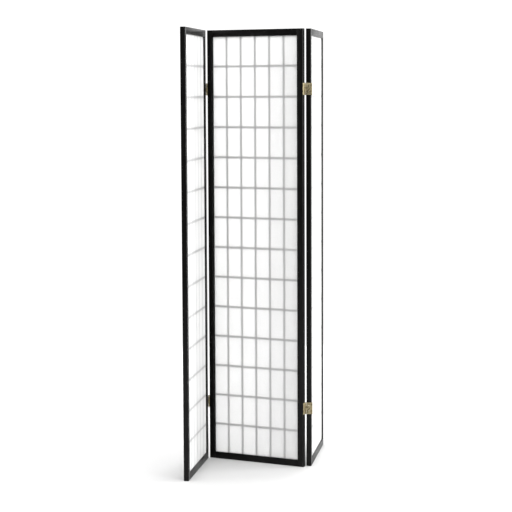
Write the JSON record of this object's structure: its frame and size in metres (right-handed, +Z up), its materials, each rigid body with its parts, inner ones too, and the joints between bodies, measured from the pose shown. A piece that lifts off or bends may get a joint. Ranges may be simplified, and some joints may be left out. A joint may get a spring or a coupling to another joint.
{
  "type": "folding screen",
  "caption": "Free-standing folding screen: paper panes on a black wooden lattice in black frames, joined by two-way leaf hinges.",
  "frame": {"origin": "on the floor under the centre of the middle panel, which is the centre of the whole screen's footprint", "axes": "+Z up; +X along the middle panel's width, towards the right panel; -Y towards the front, the papered side"},
  "size_m": [0.4864, 0.8688, 1.7844],
  "materials": {
    "frame_lacquer": "satin black lacquer on solid wood",
    "lattice_lacquer": "satin black lacquer on thin wooden bars",
    "dowel_wood": "bare turned hardwood",
    "paper": "matt white fibre paper",
    "hinge_leaves": "dull plated sheet",
    "hinge_pins": "dull plated wire",
    "hinge_screws": "bright plated screws"
  },
  "bodies": {
    "left_panel": {"left_panel_left_stile": "frame_lacquer", "left_panel_right_stile": "frame_lacquer", "left_panel_top_rail": "frame_lacquer", "left_panel_bottom_rail": "frame_lacquer", "left_panel_dowels": "dowel_wood", "left_panel_cross_bars": "lattice_lacquer", "left_panel_upright_bars": "lattice_lacquer", "left_panel_paper": "paper", "left_lower_hinge_outer_leaf": "hinge_leaves", "left_lower_hinge_outer_pin": "hinge_pins", "left_lower_hinge_outer_screws": "hinge_screws", "left_upper_hinge_outer_leaf": "hinge_leaves", "left_upper_hinge_outer_pin": "hinge_pins", "left_upper_hinge_outer_screws": "hinge_screws"},
    "middle_panel": {"middle_panel_left_stile": "frame_lacquer", "middle_panel_right_stile": "frame_lacquer", "middle_panel_top_rail": "frame_lacquer", "middle_panel_bottom_rail": "frame_lacquer", "middle_panel_dowels": "dowel_wood", "middle_panel_cross_bars": "lattice_lacquer", "middle_panel_upright_bars": "lattice_lacquer", "middle_panel_paper": "paper", "left_lower_hinge_middle_leaf": "hinge_leaves", "left_lower_hinge_middle_pin": "hinge_pins", "left_lower_hinge_middle_screws": "hinge_screws", "left_upper_hinge_middle_leaf": "hinge_leaves", "left_upper_hinge_middle_pin": "hinge_pins", "left_upper_hinge_middle_screws": "hinge_screws", "right_lower_hinge_middle_leaf": "hinge_leaves", "right_lower_hinge_middle_pin": "hinge_pins", "right_lower_hinge_middle_screws": "hinge_screws", "right_upper_hinge_middle_leaf": "hinge_leaves", "right_upper_hinge_middle_pin": "hinge_pins", "right_upper_hinge_middle_screws": "hinge_screws"},
    "right_panel": {"right_panel_left_stile": "frame_lacquer", "right_panel_right_stile": "frame_lacquer", "right_panel_top_rail": "frame_lacquer", "right_panel_bottom_rail": "frame_lacquer", "right_panel_dowels": "dowel_wood", "right_panel_cross_bars": "lattice_lacquer", "right_panel_upright_bars": "lattice_lacquer", "right_panel_paper": "paper", "right_lower_hinge_outer_leaf": "hinge_leaves", "right_lower_hinge_outer_pin": "hinge_pins", "right_lower_hinge_outer_screws": "hinge_screws", "right_upper_hinge_outer_leaf": "hinge_leaves", "right_upper_hinge_outer_pin": "hinge_pins", "right_upper_hinge_outer_screws": "hinge_screws"},
    "left_centre_leaves": {"left_lower_hinge_centre_leaf": "hinge_leaves", "left_upper_hinge_centre_leaf": "hinge_leaves"},
    "right_centre_leaves": {"right_lower_hinge_centre_leaf": "hinge_leaves", "right_upper_hinge_centre_leaf": "hinge_leaves"}
  },
  "joints": [
    {"name": "right_back_hinge", "type": "hinge", "parent": "middle_panel", "child": "right_centre_leaves", "pos_m": [0.21735, 0.0126, 0.89218], "axis": [0, 0, 1], "range_deg": [-107.4, 72.6]},
    {"name": "right_front_hinge", "type": "hinge", "parent": "right_centre_leaves", "child": "right_panel", "pos_m": [0.24089, 0.02176, 0.89218], "axis": [0, 0, 1], "range_deg": [-90, 0]},
    {"name": "left_front_hinge", "type": "hinge", "parent": "middle_panel", "child": "left_centre_leaves", "pos_m": [-0.21735, -0.0126, 0.89218], "axis": [0, 0, 1], "range_deg": [-107.4, 72.6]},
    {"name": "left_back_hinge", "type": "hinge", "parent": "left_centre_leaves", "child": "left_panel", "pos_m": [-0.24089, -0.02176, 0.89218], "axis": [0, 0, 1], "range_deg": [-90, 0]}
  ]
}
